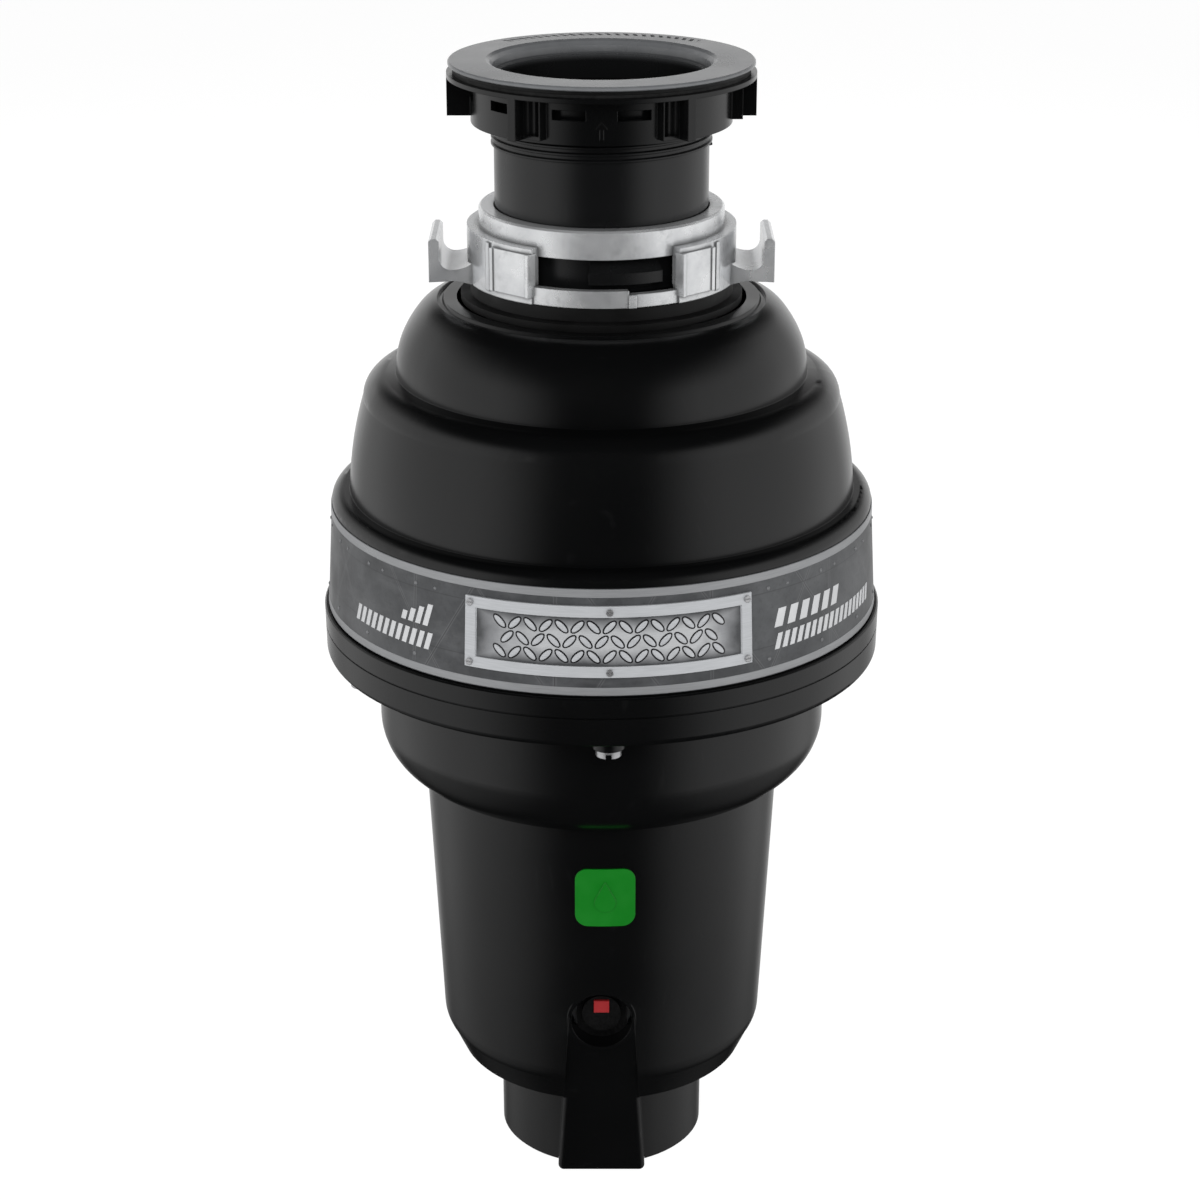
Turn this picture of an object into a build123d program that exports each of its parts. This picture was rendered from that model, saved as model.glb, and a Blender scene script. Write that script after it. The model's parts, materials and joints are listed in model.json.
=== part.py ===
from build123d import *
import math
import os

# Continuous-feed kitchen garbage disposal, hung from a sink by a twist-lock ring.
# Millimetres. Z is the rotor axis and points up. The origin is the middle of the base
# plane. The reset button faces -Y. The discharge outlet and dishwasher inlet face +Y.

os.makedirs("parts", exist_ok=True)

# ---- Driving dimensions ----
RUN_GAP = 0.04          # radial gap of a running fit
FREE_GAP = 0.3          # gap between faces that only pass each other
WALL = 2.6              # moulded cover wall

FLANGE_TOP = 450.0
FLANGE_R = 57.15        # four and a half inches across
THROAT_R = 43.0
STOPPER_R = 39.0
STOPPER_TOP = 444.6
SHOULDER_R = 41.9
GASKET_TOP = 448.2
SLEEVE_IN_R = 37.6
SLEEVE_OUT_R = 40.4
SLEEVE_BOTTOM = 371.3
GUARD_LEDGE_Z = 433.0
GUARD_SEAT_R = 39.6     # wider than the stopper's bore, so the guard's rim sits under a lip
THREAD_CREST_R = 41.5
THREAD_PITCH = 2.5
THREAD_BOTTOM = 418.0
THREAD_LENGTH = 23.5
TAB_START = -6.0        # degrees of azimuth, from -Y towards +X
TAB_END = 30.0
TAB_R = 45.0

NUT_BOTTOM = 427.3
NUT_DISC_Z = 444.0
NUT_TOP = 445.7
NUT_BODY_R = 48.9
NUT_DISC_R = 57.7
LUGS = ((-146, -1), (-90, -1), (-34, 1), (34, -1), (90, -1), (146, 1))

RING_BOTTOM = 367.9
RING_TOP = 395.6
RING_WALL_IN_R = 46.5
RING_WALL_OUT_R = 51.0
COLLAR_IN_R = 40.8
SLOT_START = -30.0
SLOT_END = 34.0
SLOT_BOTTOM = 374.3
SLOT_TOP = 385.0
PAD_BOTTOM = 370.4
PAD_TOP = 386.6
EAR_OUT_X = 64.9
EAR_HALF_WIDTH = 15.7

SHELL_TOP = 360.2
NECK_HOLE_R = 55.3
TIER_1_R = 79.2
TIER_1_Z = 331.0
TIER_2_R = 98.2
TIER_2_Z = 285.0
LABEL_TOP = 279.8
LABEL_BOTTOM = 239.2
LABEL_TOP_R = 105.05
LABEL_BOTTOM_R = 107.35
LABEL_SKIN = 0.45

TRIM_TOP = 238.6
TRIM_BOTTOM = 219.0
TRIM_R = 109.5
TRIM_SEAM_Z = 230.7
TRIM_SCREW_R = 98.5
TRIM_SCREW_ANGLES = (1.5, 73.5, 145.5, -142.5, -70.5)

BOWL_R = 88.7
BOWL_TOP = 222.5
BOWL_ARC_Z = 189.9
BOWL_ARC_R = 22.35
CAN_TOP = (71.04, 168.05)
CAN_BOTTOM = (65.6, 58.0)
CHAMFER_TOP = (63.6, 52.2)
CHAMFER_BOTTOM = (58.6, 41.4)
BASE_R = 41.9
BASE_IN_R = 40.0
SPINE_TOP_Z = 84.0
SPINE_FOOT_TOP = 41.0   # the rib stands clear of the base below this height
SPINE_FOOT_Y = 46.0
SPINE_LEAN = 0.257      # how far the spine's face moves out for each mm of height
SPINE_HALF_WIDTH = 17.9
SPINE_TAPER = 0.06      # how far each side moves in for each mm of height
RESET_Z = 82.0
RESET_HOLE_R = 12.0
RESET_WELL_Y = -57.8    # the bottom of the finger well
RESET_BOSS_Y = -60.5
BUTTON_Z = 85.5

CHAMBER_R = 81.0
CHAMBER_OUT_R = 84.0
JOINT_FLANGE_R = 97.0
CHAMBER_BOLT_R = 91.0
CHAMBER_BOLT_ANGLES = (30, 90, 150, 210, 270, 330)
OUTLET_Z = 208.0
OUTLET_R = 19.5
OUTLET_TUBE_R = 23.5
OUTLET_FACE_Y = 117.0
OUTLET_BOLT_X = 31.0
OUTLET_BOLT_HOLE_R = 3.2
INLET_Z = 302.0
INLET_R = 11.1
INLET_BORE_R = 8.5
INLET_FACE_Y = 116.0
INLET_COLLAR_Y = 98.0   # the hose covers the nipple from here out

PLATE_Z = 240.0
PLATE_R = 77.3
SHREDDER_IN_R = 78.0
SHREDDER_OUT_R = 80.7
PIN_X = 50.0
PIN_R = 4.0
SHAFT_R = 8.0
SHAFT_LOW_R = 6.0

MOTOR_R = 52.0
MOTOR_WALL = 2.0
MOTOR_BOTTOM = 62.0
MOTOR_TOP = 184.0
MAGNET_IN_R = 43.2
CORE_R = 42.0
CORE_BOTTOM = 92.0
CORE_TOP = 164.0
CORE_SLOTS = 14
COMMUTATOR_R = 16.0
BRUSH_Z = 71.0
TIE_BOLT_X = 46.5

CONDUIT_R = 11.1
CONDUIT_Y = 18.0


# ---- Shape helpers ----
def rz(radius, height):
    """A profile point, from a radius and a height."""
    return (radius, 0, height)


def turned(points, arc=360):
    """Revolve a closed outline of (radius, height) points about Z."""
    outline = Polyline(*[rz(*point) for point in points], close=True)
    return revolve(make_face(outline), Axis.Z, arc)


def ring(inner, outer, bottom, top):
    return turned([(inner, bottom), (outer, bottom), (outer, top), (inner, top)])


def disc(radius, bottom, top, x=0, y=0):
    return Pos(x, y, (bottom + top) / 2) * Cylinder(radius, top - bottom)


def block(x0, x1, y0, y1, z0, z1):
    size = (x1 - x0, y1 - y0, z1 - z0)
    middle = ((x0 + x1) / 2, (y0 + y1) / 2, (z0 + z1) / 2)
    return Pos(*middle) * Box(*size)


def front(part, azimuth):
    """Turn a piece that was built towards +X so that it faces an azimuth off -Y."""
    return Rot(0, 0, azimuth - 90) * part


def sector(points, start, end):
    """A turned piece that covers only the azimuths from start to end."""
    return front(turned(points, end - start), start)


def polar(radius, azimuth):
    angle = math.radians(azimuth - 90)
    return radius * math.cos(angle), radius * math.sin(angle)


def rod_y(radius, y0, y1, x=0, z=0):
    return Pos(x, (y0 + y1) / 2, z) * Rot(90, 0, 0) * Cylinder(radius, y1 - y0)


def together(parts):
    """Add a list of overlapping or touching pieces up to one solid."""
    total = parts[0]
    for part in parts[1:]:
        total = total + part
    return total


def screw_thread(root, crest, root_width, crest_width, bottom, length):
    """A helical ridge; its foot sinks into the wall that it stands on."""
    path = Helix(THREAD_PITCH, length, (root + crest) / 2, center=(0, 0, bottom))
    start = path @ 0
    across = Plane(origin=start, x_dir=(start.X, start.Y, 0), z_dir=path % 0)
    half = (crest - root) / 2
    foot = -half - math.copysign(0.3, half)
    outline = [
        (foot, -root_width / 2),
        (half, -crest_width / 2),
        (half, crest_width / 2),
        (foot, root_width / 2),
    ]
    section = make_face(across * Polyline(*outline, close=True))
    return sweep(section, path=path, is_frenet=True)


def save(node, part, colour):
    part.label = node
    part.color = Color(*colour)
    export_step(part, f"parts/{node}.step")


BLACK = (0.06, 0.06, 0.065)
RUBBER = (0.03, 0.03, 0.03)
ZINC = (0.72, 0.73, 0.74)
STEEL = (0.62, 0.64, 0.66)
COPPER = (0.72, 0.38, 0.18)
FOAM = (0.85, 0.84, 0.8)
GREY = (0.35, 0.36, 0.37)


# ---- Sink mounting group ----
def sink_flange():
    outline = [
        (THROAT_R, FLANGE_TOP),
        (FLANGE_R - 0.5, FLANGE_TOP),
        (FLANGE_R, FLANGE_TOP - 0.5),
        (FLANGE_R, FLANGE_TOP - 1.3),
        (FLANGE_R - 1.0, GASKET_TOP),
        (43.2, GASKET_TOP),
        (SHOULDER_R, 446.9),
        (SHOULDER_R, 444.0),
        (SLEEVE_OUT_R, 443.2),
        (SLEEVE_OUT_R, SLEEVE_BOTTOM),
        (SLEEVE_IN_R, SLEEVE_BOTTOM),
        (SLEEVE_IN_R, GUARD_LEDGE_Z),
        (GUARD_SEAT_R, GUARD_LEDGE_Z),
        (GUARD_SEAT_R, GUARD_LEDGE_Z + 2.3),
        (STOPPER_R, GUARD_LEDGE_Z + 2.3),
        (STOPPER_R, STOPPER_TOP),
        (40.0, STOPPER_TOP),
        (40.0, 445.5),
        (40.6, 447.8),
        (41.6, 449.3),
    ]
    tabs = [
        sector([(40.2, 375.2), (TAB_R, 375.2), (TAB_R, 379.5), (40.2, 383.6)], a, b)
        for a, b in ((TAB_START, TAB_END), (TAB_START + 180, TAB_END + 180))
    ]
    thread = screw_thread(SLEEVE_OUT_R, THREAD_CREST_R, 1.5, 0.7, THREAD_BOTTOM, THREAD_LENGTH)
    return together([turned(outline), thread] + tabs)


def nut_lug(azimuth, side):
    """A fin to push on, with a scooped web on one side of it."""
    fin = block(NUT_BODY_R - 1.0, NUT_DISC_R, -1.7, 1.7, 429.0, NUT_DISC_Z + 0.5)
    low, high = sorted((side * 1.0, side * 8.6))
    web = block(NUT_BODY_R - 1.0, 52.3, low, high, 429.0, NUT_DISC_Z + 0.5)
    scoop = Pos(52.6, side * 4.9, 438.5) * Cylinder(3.2, 16)
    return front(fin + (web - scoop), azimuth)


def nut_arrow():
    stem = block(-0.7, 0.7, -NUT_BODY_R - 0.5, -NUT_BODY_R + 1, 429.5, 433.5)
    head = Polyline((-2.2, 0, 433.4), (2.2, 0, 433.4), (0, 0, 436.0), close=True)
    tip = extrude(make_face(head), 1.5, dir=(0, -1, 0))
    return stem + Pos(0, -NUT_BODY_R + 1, 0) * tip


def mounting_nut():
    thread_seat = 41.75
    body = ring(thread_seat, NUT_BODY_R, NUT_BOTTOM, NUT_TOP)
    body += ring(NUT_BODY_R - 1, NUT_DISC_R, NUT_DISC_Z, NUT_TOP)
    body -= ring(44.0, 46.8, NUT_BOTTOM + 1.8, NUT_DISC_Z - 1.0)
    body -= ring(40.0, SHOULDER_R + 0.4, 441.5, NUT_TOP + 1)
    windows = (-83, -48, -14, 14, 97, 132, 166, -166, -118)
    for azimuth in windows:
        body -= front(block(45.5, 50.5, -6.2, 6.2, 436.2, 439.8), azimuth)
    thread = screw_thread(thread_seat, 40.75, 1.3, 0.6, 431.75, 7.5)
    return together([body, thread, nut_arrow()] + [nut_lug(azimuth, side) for azimuth, side in LUGS])


def splash_guard():
    outline = [
        (SLEEVE_IN_R - FREE_GAP, GUARD_LEDGE_Z),
        (STOPPER_R - FREE_GAP, GUARD_LEDGE_Z + 0.05),
        (STOPPER_R - FREE_GAP, GUARD_LEDGE_Z + 2.0),
        (35.4, GUARD_LEDGE_Z + 2.0),
        (35.4, 424.0),
        (24.0, 421.5),
        (7.0, 415.5),
        (7.0, 413.5),
        (24.0, 419.3),
        (36.0, 421.5),
        (SLEEVE_IN_R - FREE_GAP, 424.0),
    ]
    guard = turned(outline)
    for index in range(8):
        guard -= Rot(0, 0, 45 * index) * block(3, 32, -0.4, 0.4, 405, 430)
    return guard


def ring_outer_wall():
    """The thick outer wall, open at the front and back slots."""
    wall = ring(RING_WALL_IN_R - 0.2, RING_WALL_OUT_R, RING_BOTTOM, 388.5)
    inside = [(46.0, 360), (52.5, 360), (52.5, 400), (46.0, 400)]
    for turn in (0, 180):
        wall -= sector(inside, SLOT_START + turn, SLOT_END + turn)
    return wall


def ring_bars():
    """The ramp bars that close each slot below; each has a step near its middle."""
    high = [(46.9, RING_BOTTOM), (50.2, RING_BOTTOM), (50.2, SLOT_BOTTOM), (46.9, SLOT_BOTTOM)]
    low_top = SLOT_BOTTOM - 1.5
    low = [(46.9, RING_BOTTOM), (50.0, RING_BOTTOM), (50.0, low_top), (46.9, low_top)]
    notch = [(46.9, RING_BOTTOM), (50.9, RING_BOTTOM), (50.9, low_top), (46.9, low_top)]
    bars = []
    for turn in (0, 180):
        bars.append(sector(high, SLOT_START - 3 + turn, 11.5 + turn))
        bars.append(sector(low, 11.0 + turn, SLOT_END + 3 + turn))
        bars.append(sector(notch, 11.3 + turn, 14.7 + turn))
    return bars


def ring_pads():
    """Raised flat pads each side of a slot, each with a rib on its outer edge."""
    pads = []
    for turn in (0, 180):
        for start, end, rib in ((-51.5, SLOT_START, -55), (SLOT_END, 52.5, 56.5)):
            middle = (start + end) / 2 + turn
            half = (end - start) / 2 * math.pi / 180 * RING_WALL_OUT_R
            pads.append(front(block(48.0, 51.9, -half, half, PAD_BOTTOM, PAD_TOP), middle))
            pads.append(front(block(48.0, 52.4, -half, -half + 1.6, PAD_BOTTOM, PAD_TOP), middle))
            pads.append(front(block(48.0, 52.4, half - 1.6, half, PAD_BOTTOM, PAD_TOP), middle))
            pads.append(front(block(48.0, 51.7, -1.2, 1.2, PAD_BOTTOM - 1, PAD_TOP + 1), rib + turn))
    return pads


def ring_ear(side):
    """A channel with a thin outer lip that a wrench or screwdriver pushes against."""
    lip_x = EAR_OUT_X - 4.0
    top_z = 385.4
    floor_z = 373.5
    outline = [
        Line(rz(48.6, 376.0), rz(48.6, 367.9)),
        ThreePointArc(rz(48.6, 367.9), rz(51.5, 368.6), rz(55.0, 369.3)),
        Line(rz(55.0, 369.3), rz(EAR_OUT_X, 368.8)),
        Line(rz(EAR_OUT_X, 368.8), rz(EAR_OUT_X, top_z - 1.1)),
        Line(rz(EAR_OUT_X, top_z - 1.1), rz(EAR_OUT_X - 1.1, top_z)),
        Line(rz(EAR_OUT_X - 1.1, top_z), rz(lip_x + 1.1, top_z)),
        Line(rz(lip_x + 1.1, top_z), rz(lip_x, top_z - 1.1)),
        Line(rz(lip_x, top_z - 1.1), rz(lip_x, 378.4)),
        ThreePointArc(rz(lip_x, 378.4), rz(59.8, 375.0), rz(56.6, floor_z)),
        ThreePointArc(rz(56.6, floor_z), rz(52.4, 374.1), rz(48.6, 376.0)),
    ]
    face = make_face(Wire(outline))
    hook = Pos(0, EAR_HALF_WIDTH, 0) * extrude(face, 2 * EAR_HALF_WIDTH, dir=(0, -1, 0))
    hook -= ring(30, 48.4, 360, 395)
    return hook if side > 0 else Rot(0, 0, 180) * hook


def mounting_ring():
    collar = turned([
        (COLLAR_IN_R, SLOT_TOP),
        (RING_WALL_IN_R, SLOT_TOP),
        (RING_WALL_IN_R, RING_TOP - 0.8),
        (RING_WALL_IN_R - 0.8, RING_TOP),
        (COLLAR_IN_R, RING_TOP),
    ])
    pieces = [collar, ring_outer_wall(), ring_ear(1), ring_ear(-1)] + ring_bars() + ring_pads()
    bore = ring(0.5, RING_WALL_IN_R - 0.2, 360, SLOT_TOP)
    lower_bore = ring(0.5, 46.9, 360, SLOT_BOTTOM)
    return together(pieces) - bore - lower_bore


def cushion_mount():
    """Rubber collar that grips the hopper's lip and carries the mounting ring."""
    return turned([
        (41.2, 359.6),
        (53.6, 359.6),
        (53.6, 362.4),
        (50.0, 362.9),
        (50.0, 367.6),
        (46.2, 367.6),
        (46.2, 371.0),
        (38.2, 371.0),
        (38.2, 366.1),
        (45.6, 366.1),
        (45.6, 362.9),
        (41.2, 362.9),
    ])


# ---- Covers ----
def shell_outline():
    """Closed half section of the three-tier upper shell."""
    outer = [
        Line(rz(NECK_HOLE_R, SHELL_TOP), rz(60.2, SHELL_TOP)),
        Line(rz(60.2, SHELL_TOP), rz(60.9, 358.9)),
        Line(rz(60.9, 358.9), rz(62.4, 358.6)),
        Line(rz(62.4, 358.6), rz(62.9, 359.6)),
        Spline(
            [rz(62.9, 359.6), rz(72.2, 352.4), rz(TIER_1_R, TIER_1_Z)],
            tangents=[(1, 0, -0.25), (0, 0, -1)],
        ),
        Line(rz(TIER_1_R, TIER_1_Z), rz(83.0, 330.4)),
        ThreePointArc(rz(83.0, 330.4), rz(89.3, 327.9), rz(92.0, 321.6)),
        ThreePointArc(rz(92.0, 321.6), rz(96.3, 303.5), rz(TIER_2_R, TIER_2_Z)),
        Line(rz(TIER_2_R, TIER_2_Z), rz(100.8, TIER_2_Z)),
        ThreePointArc(rz(100.8, TIER_2_Z), rz(103.98, 283.68), rz(105.3, 280.5)),
        Line(rz(105.3, 280.5), rz(105.3, LABEL_TOP)),
        Line(rz(105.3, LABEL_TOP), rz(LABEL_TOP_R, LABEL_TOP)),
        Line(rz(LABEL_TOP_R, LABEL_TOP), rz(LABEL_BOTTOM_R, LABEL_BOTTOM)),
        Line(rz(LABEL_BOTTOM_R, LABEL_BOTTOM), rz(LABEL_BOTTOM_R, 224)),
    ]
    inner = [
        (LABEL_BOTTOM_R, 224),
        (104.7, 224),
        (104.7, 240),
        (102.5, 279.6),
        (100.2, 282.3),
        (95.5, 282.4),
        (93.5, 304),
        (89.3, 320.8),
        (86.9, 325.7),
        (82.6, 327.7),
        (76.5, 328.3),
        (74.5, 340.5),
        (69.8, 350.8),
        (61.5, 356.5),
        (NECK_HOLE_R, 357.4),
        (NECK_HOLE_R, SHELL_TOP),
    ]
    return outer, Polyline(*[rz(*point) for point in inner])


def trim_boss(azimuth):
    """A hollow post inside the shell's skirt that takes a trim screw."""
    x, y = polar(TRIM_SCREW_R, azimuth)
    post = disc(4.4, 223.5, 238.0, x, y) + front(block(TRIM_SCREW_R, 105.5, -1.2, 1.2, 225, 238), azimuth)
    return post - disc(2.3, 222, 236.5, x, y)


def upper_shell():
    outer, inner = shell_outline()
    shell = revolve(make_face(Wire(list(outer) + list(inner.edges()))), Axis.Z, 360)
    shell += [trim_boss(azimuth) for azimuth in TRIM_SCREW_ANGLES]
    shell -= rod_y(OUTLET_TUBE_R + 1.8, 80, 115, z=OUTLET_Z)
    return shell - rod_y(INLET_R + 1.6, 85, 110, z=INLET_Z)


def label_radius(height):
    """Outside radius of the label band at a height."""
    share = (LABEL_TOP - height) / (LABEL_TOP - LABEL_BOTTOM)
    return LABEL_TOP_R + LABEL_SKIN + share * (LABEL_BOTTOM_R - LABEL_TOP_R)


def on_label(bottom, top, depth, height, start, end):
    """A patch on the label band, from depth under its face to height over it."""
    points = [
        (label_radius(bottom) - depth, bottom),
        (label_radius(bottom) + height, bottom),
        (label_radius(top) + height, top),
        (label_radius(top) - depth, top),
    ]
    return sector(points, start, end)


def label_band():
    return turned([
        (LABEL_TOP_R, LABEL_TOP),
        (LABEL_BOTTOM_R, LABEL_BOTTOM),
        (LABEL_BOTTOM_R + LABEL_SKIN, LABEL_BOTTOM),
        (LABEL_TOP_R + LABEL_SKIN, LABEL_TOP),
    ])


NAMEPLATE_BOTTOM = 246.5
NAMEPLATE_TOP = 273.5
NAMEPLATE_START = -27.5
NAMEPLATE_END = 30.6
FRAME_WIDTH = 4.2


def nameplate():
    frame_angle = math.degrees(FRAME_WIDTH / label_radius(260))
    plate = on_label(NAMEPLATE_BOTTOM, NAMEPLATE_TOP, 0, 0.9, NAMEPLATE_START, NAMEPLATE_END)
    window = on_label(
        NAMEPLATE_BOTTOM + FRAME_WIDTH,
        NAMEPLATE_TOP - FRAME_WIDTH,
        -0.4,
        2.0,
        NAMEPLATE_START + frame_angle,
        NAMEPLATE_END - frame_angle,
    )
    return plate - window


def nameplate_screws(plate):
    inset = FRAME_WIDTH / 2
    side = math.degrees(inset / label_radius(260))
    middle = (NAMEPLATE_START + NAMEPLATE_END) / 2
    screws = []
    for azimuth in (NAMEPLATE_START + side, middle, NAMEPLATE_END - side):
        for height in (NAMEPLATE_BOTTOM + inset, NAMEPLATE_TOP - inset):
            head = Rot(0, 90, 0) * Cylinder(1.3, 0.9)
            head -= Pos(0.6, 0, 0) * Box(0.9, 3, 0.4)
            screws.append(front(Pos(label_radius(height) + 1.3, 0, height) * head, azimuth) - plate)
    return Compound(children=screws)


def trim_pad(azimuth):
    x, y = polar(TRIM_SCREW_R, azimuth)
    return disc(6.2, TRIM_BOTTOM - 3.8, TRIM_BOTTOM + 1, x, y)


def trim_ring():
    edge_round = 2.5
    bend = edge_round * (1 - math.sqrt(0.5))
    outer = [
        Line(rz(107.95, TRIM_TOP), rz(TRIM_R - 0.6, TRIM_TOP)),
        Line(rz(TRIM_R - 0.6, TRIM_TOP), rz(TRIM_R, TRIM_TOP - 0.6)),
        Line(rz(TRIM_R, TRIM_TOP - 0.6), rz(TRIM_R - 0.3, TRIM_BOTTOM + edge_round)),
        ThreePointArc(
            rz(TRIM_R - 0.3, TRIM_BOTTOM + edge_round),
            rz(TRIM_R - 0.3 - bend, TRIM_BOTTOM + bend),
            rz(TRIM_R - 0.3 - edge_round, TRIM_BOTTOM),
        ),
    ]
    rest = [
        (TRIM_R - 0.3 - edge_round, TRIM_BOTTOM),
        (89.6, TRIM_BOTTOM),
        (89.6, TRIM_BOTTOM + 2.2),
        (106.6, TRIM_BOTTOM + 2.2),
        (107.65, TRIM_BOTTOM + 3.4),
        (107.95, TRIM_TOP),
    ]
    edges = list(outer) + list(Polyline(*[rz(*point) for point in rest]).edges())
    trim = revolve(make_face(Wire(edges)), Axis.Z, 360)
    trim += [trim_pad(azimuth) for azimuth in TRIM_SCREW_ANGLES]
    trim -= ring(TRIM_R - 0.6, TRIM_R + 1, TRIM_SEAM_Z - 0.25, TRIM_SEAM_Z + 0.25)
    for azimuth in TRIM_SCREW_ANGLES:
        trim -= disc(2.6, 210, 225, *polar(TRIM_SCREW_R, azimuth))
    return trim - rod_y(OUTLET_TUBE_R + 1.8, 80, 115, z=OUTLET_Z)


def trim_screws():
    screws = []
    for azimuth in TRIM_SCREW_ANGLES:
        x, y = polar(TRIM_SCREW_R, azimuth)
        head = disc(4.8, 212.0, TRIM_BOTTOM - 3.8, x, y) - Pos(x, y, 212) * Box(2.2, 12, 3.6)
        screws.append(head + disc(2.1, TRIM_BOTTOM - 4, 235, x, y))
    return Compound(children=screws)


def cover_body():
    """The turned part of the lower cover: bowl, motor cover, chamfer and base."""
    arc_r = BOWL_R - BOWL_ARC_R
    turn_angle = math.radians(-39)
    arc_middle = (arc_r + BOWL_ARC_R * math.cos(turn_angle), BOWL_ARC_Z + BOWL_ARC_R * math.sin(turn_angle))
    inner_r = BOWL_ARC_R - WALL
    inner_middle = (arc_r + inner_r * math.cos(turn_angle), BOWL_ARC_Z + inner_r * math.sin(turn_angle))
    outer = [
        Line(rz(BOWL_R, BOWL_TOP), rz(BOWL_R, BOWL_ARC_Z)),
        ThreePointArc(rz(BOWL_R, BOWL_ARC_Z), rz(*arc_middle), rz(*CAN_TOP)),
        Line(rz(*CAN_TOP), rz(*CAN_BOTTOM)),
        ThreePointArc(rz(*CAN_BOTTOM), rz(64.95, 54.7), rz(*CHAMFER_TOP)),
        Line(rz(*CHAMFER_TOP), rz(*CHAMFER_BOTTOM)),
        Line(rz(*CHAMFER_BOTTOM), rz(BASE_R, 40.8)),
        Line(rz(BASE_R, 40.8), rz(BASE_R - 0.2, 0.8)),
        Line(rz(BASE_R - 0.2, 0.8), rz(BASE_R - 1.0, 0)),
        Line(rz(BASE_R - 1.0, 0), rz(BASE_IN_R, 0)),
        Line(rz(BASE_IN_R, 0), rz(BASE_IN_R, 43.4)),
        Line(rz(BASE_IN_R, 43.4), rz(56.9, 44.0)),
        Line(rz(56.9, 44.0), rz(62.9, 57.0)),
        Line(rz(62.9, 57.0), rz(68.4, 167.6)),
        ThreePointArc(rz(68.4, 167.6), rz(*inner_middle), rz(BOWL_R - WALL, BOWL_ARC_Z)),
        Line(rz(BOWL_R - WALL, BOWL_ARC_Z), rz(BOWL_R - WALL, BOWL_TOP)),
        Line(rz(BOWL_R - WALL, BOWL_TOP), rz(BOWL_R, BOWL_TOP)),
    ]
    return revolve(make_face(Wire(list(outer))), Axis.Z, 360)


def spine_prism(back_y, inset, reach, bottom, top):
    """A slanted prism behind (or, with reach, in front of) the spine's face."""
    def half_width(height):
        return SPINE_HALF_WIDTH - SPINE_TAPER * height - inset

    def face_y(height):
        return -(SPINE_FOOT_Y + SPINE_LEAN * height) + inset - reach

    def slice_at(height):
        half = half_width(height)
        corners = [
            (-half, back_y, height),
            (half, back_y, height),
            (half, face_y(height), height),
            (-half, face_y(height), height),
        ]
        return make_face(Polyline(*corners, close=True))

    return loft([slice_at(bottom), slice_at(top)])


def spine():
    """The hollow rib that carries the reset button and the supply wires."""
    foot = spine_prism(-20, 0, 0, 0, SPINE_FOOT_TOP)
    upright = ShapeList([edge for edge in foot.edges() if abs(edge.tangent_at(0).Z) > 0.9])
    lowest = foot.edges().group_by(Axis.Z)[0].sort_by(Axis.Y)
    foot = fillet(upright.sort_by(Axis.Y)[:2] + lowest[:3], 2.2)
    whole = foot + spine_prism(-20, 0, 0, SPINE_FOOT_TOP, SPINE_TOP_Z)
    return whole - spine_prism(-10, WALL, 0, WALL, SPINE_TOP_Z + 1)


def lower_cover():
    cover = cover_body() - spine_prism(-20, 0, 30, 0, SPINE_TOP_Z)
    cover += spine() - disc(BASE_IN_R, -1, 43.4) - disc(56.9, 43.4, SPINE_TOP_Z + 1)
    cover += rod_y(RESET_HOLE_R + 1.6, -66.2, RESET_WELL_Y, z=RESET_Z)
    cover -= rod_y(RESET_HOLE_R, -80, -50, z=RESET_Z)
    cover -= rod_y(OUTLET_TUBE_R + 1.5, 60, 100, z=OUTLET_Z)
    cover -= block(-OUTLET_TUBE_R - 1.5, OUTLET_TUBE_R + 1.5, 60, 100, OUTLET_Z, BOWL_TOP + 5)
    for x in (-31, 31):
        wall_x = 1.27 * x
        cover += disc(4.5, 2.8, 14, x, 10) + block(min(x, wall_x), max(x, wall_x), 7, 13, 2.8, 14)
        cover -= disc(1.7, 1, 12, x, 10)
    return cover


def green_badge():
    """A rounded square tag with a raised drop, stuck on the motor cover."""
    middle_z = 138.2
    drop_r = 4.2
    drop_z = -2.0
    tip_z = 7.2
    side = math.asin(drop_r / (tip_z - drop_z))
    side_x = drop_r * math.cos(side)
    side_z = drop_z + drop_r * math.sin(side)
    tip = make_face(Polyline((0, tip_z), (-side_x, side_z), (side_x, side_z), close=True))
    tag = extrude(RectangleRounded(23.4, 25.2, 5.0), 20)
    raised = extrude(Pos(0, drop_z) * Circle(drop_r) + tip, 20)
    placed = Pos(1.4, -80, middle_z) * Rot(90, 0, 0)
    can_r = CAN_BOTTOM[0] + (CAN_TOP[0] - CAN_BOTTOM[0]) * (middle_z - CAN_BOTTOM[1]) / (CAN_TOP[1] - CAN_BOTTOM[1])
    lean = (CAN_TOP[0] - CAN_BOTTOM[0]) / (CAN_TOP[1] - CAN_BOTTOM[1])

    def skin(inner, outer):
        low, high = middle_z - 20, middle_z + 20
        return turned([
            (can_r + inner - 20 * lean, low),
            (can_r + outer - 20 * lean, low),
            (can_r + outer + 20 * lean, high),
            (can_r + inner + 20 * lean, high),
        ])

    placed_tag = placed * Pos(0, 0, -20) * tag
    placed_drop = placed * Pos(0, 0, -20) * raised
    return (placed_tag & skin(0.02, 0.7)) + (placed_drop & skin(0.4, 1.2))


def terminal_cover():
    plate = disc(BASE_IN_R - FREE_GAP, 0, 2.5) + ring(CONDUIT_R, 14.0, 2.0, 7.0).moved(Location((0, CONDUIT_Y, 0)))
    plate -= disc(CONDUIT_R, -1, 8, 0, CONDUIT_Y)
    for x in (-31, 31):
        plate -= disc(2.0, -1, 4, x, 10)
        plate -= disc(4.0, -1, 1.5, x, 10)
    return plate


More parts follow.
